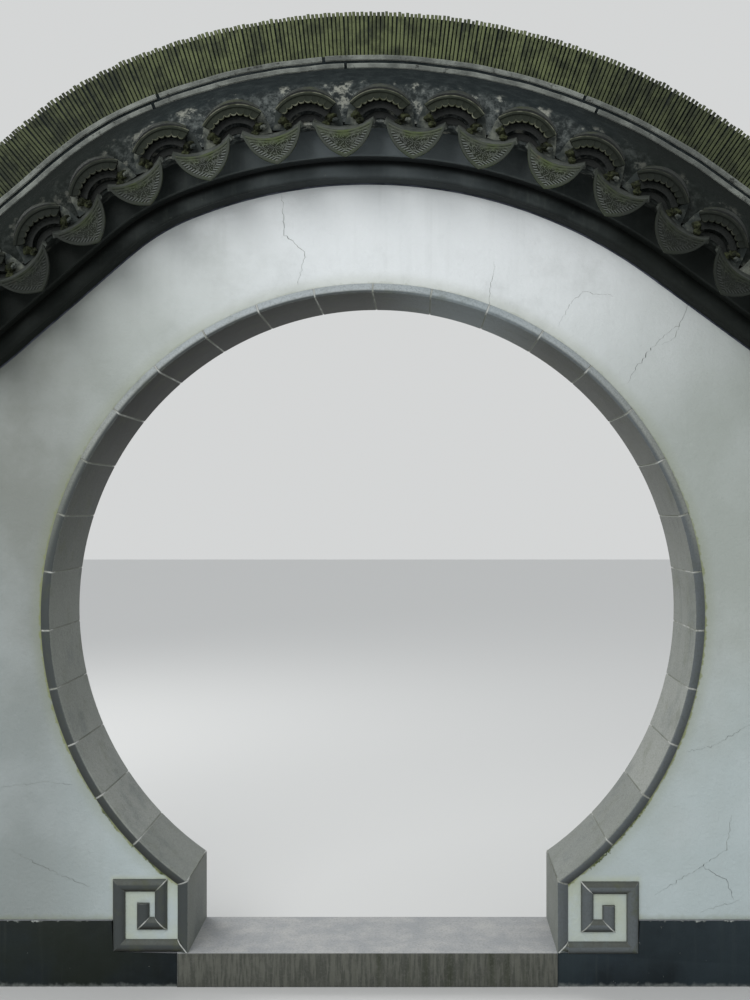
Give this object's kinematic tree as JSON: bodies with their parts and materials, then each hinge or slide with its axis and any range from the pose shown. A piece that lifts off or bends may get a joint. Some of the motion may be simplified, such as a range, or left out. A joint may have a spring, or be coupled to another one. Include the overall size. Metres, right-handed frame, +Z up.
{
  "type": "moon gate",
  "caption": "Garden wall with a round moon-gate doorway, grey stone lining and scroll feet, and a swept tiled coping with an upright-tile ridge.",
  "frame": {"origin": "on the ground below the doorway's centre, at the middle of the wall's thickness", "axes": "+X along the wall to the right as seen from the front, +Y through the doorway towards the back, +Z up"},
  "size_m": [4.7, 0.728, 3.2089],
  "materials": {
    "plaster": "lime-washed plaster on brick, matt, stained and finely cracked",
    "plinth_paint": "dark blue-black painted render, chipped",
    "threshold_stone": "grey stone slab, worn smooth on top",
    "lining_stone": "rubbed grey stone, fine grained, matt",
    "scroll_stone": "rubbed grey brick moulding, matt",
    "cornice": "black-washed brick courses",
    "bedding_mortar": "dark weathered mortar",
    "roof_tile": "unglazed grey clay, mossy",
    "drip_tile": "unglazed grey clay with moulded relief, mossy",
    "ridge_mortar": "lime mortar strips, weathered",
    "ridge_tile": "unglazed grey clay tiles on end, mossy"
  },
  "bodies": {
    "root": {"wall_end_left": "plaster", "wall_lower_left": "plaster", "wall_upper_left": "plaster", "wall_crown": "plaster", "wall_upper_right": "plaster", "wall_lower_right": "plaster", "wall_end_right": "plaster", "plinth_front_left": "plinth_paint", "plinth_front_right": "plinth_paint", "plinth_back_left": "plinth_paint", "plinth_back_right": "plinth_paint", "threshold": "threshold_stone", "jamb_left": "lining_stone", "jamb_right": "lining_stone", "ring_stones_upper_left": "lining_stone", "ring_stones_upper_right": "lining_stone", "ring_stones_lower_left": "lining_stone", "ring_stones_lower_right": "lining_stone", "scroll_front_left": "scroll_stone", "scroll_front_right": "scroll_stone", "scroll_back_left": "scroll_stone", "scroll_back_right": "scroll_stone", "cornice_lower_left": "cornice", "cornice_lower_crown": "cornice", "cornice_lower_right": "cornice", "cornice_upper_left": "cornice", "cornice_upper_crown": "cornice", "cornice_upper_right": "cornice", "roof_bed_left": "bedding_mortar", "roof_bed_crown": "bedding_mortar", "roof_bed_right": "bedding_mortar", "ridge_base_left": "ridge_mortar", "ridge_base_crown": "ridge_mortar", "ridge_base_right": "ridge_mortar", "ridge_tiles_left": "ridge_tile", "ridge_tiles_crown": "ridge_tile", "ridge_tiles_right": "ridge_tile", "pan_tiles_front": "roof_tile", "pan_tiles_back": "roof_tile", "drip_tiles_front": "drip_tile", "drip_tiles_back": "drip_tile", "cover_tiles_front": "roof_tile", "cover_tiles_back": "roof_tile", "cover_bedding_front": "bedding_mortar", "cover_bedding_back": "bedding_mortar"}
  },
  "joints": []
}
